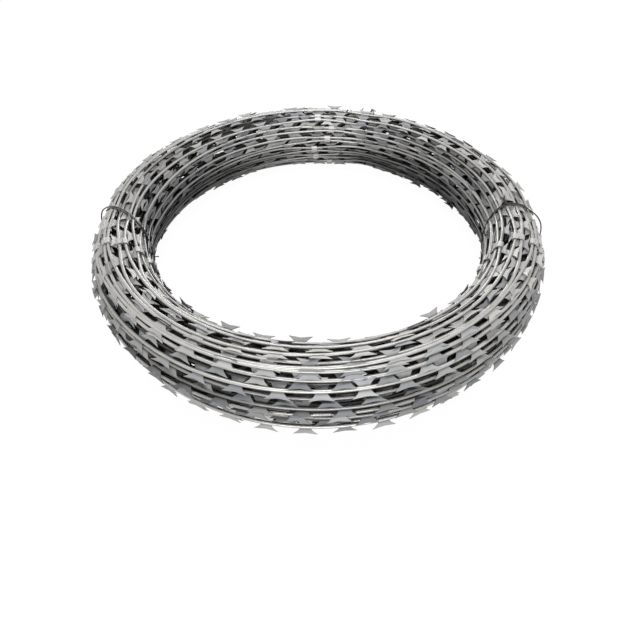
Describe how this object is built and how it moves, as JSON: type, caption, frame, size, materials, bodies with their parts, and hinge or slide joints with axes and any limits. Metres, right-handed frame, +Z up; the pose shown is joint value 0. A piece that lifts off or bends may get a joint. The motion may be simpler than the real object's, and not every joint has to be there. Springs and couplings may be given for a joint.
{
  "type": "concertina razor wire coil",
  "caption": "Galvanized concertina razor wire coil, compressed flat and tied for transport, lying on its side face, with an open eye through the middle.",
  "frame": {"origin": "on the ground, on the coil's axis, at the middle of the underside", "axes": "+Z up along the coil's axis, +Y towards the rear of the picture, +X to the picture's right"},
  "size_m": [0.5, 0.5, 0.089],
  "materials": {
    "galvanized_tape": "bright galvanized, lightly spangled",
    "galvanized_clip": "galvanized, bent from strip",
    "tie_wire": "black annealed, dull"
  },
  "bodies": {
    "root": {"razor_tape_coil": "galvanized_tape", "tie_wire_left": "tie_wire", "tie_wire_right": "tie_wire", "tie_wire_rear": "tie_wire", "clips_left": "galvanized_clip", "clips_right": "galvanized_clip", "clips_rear": "galvanized_clip"}
  },
  "joints": []
}
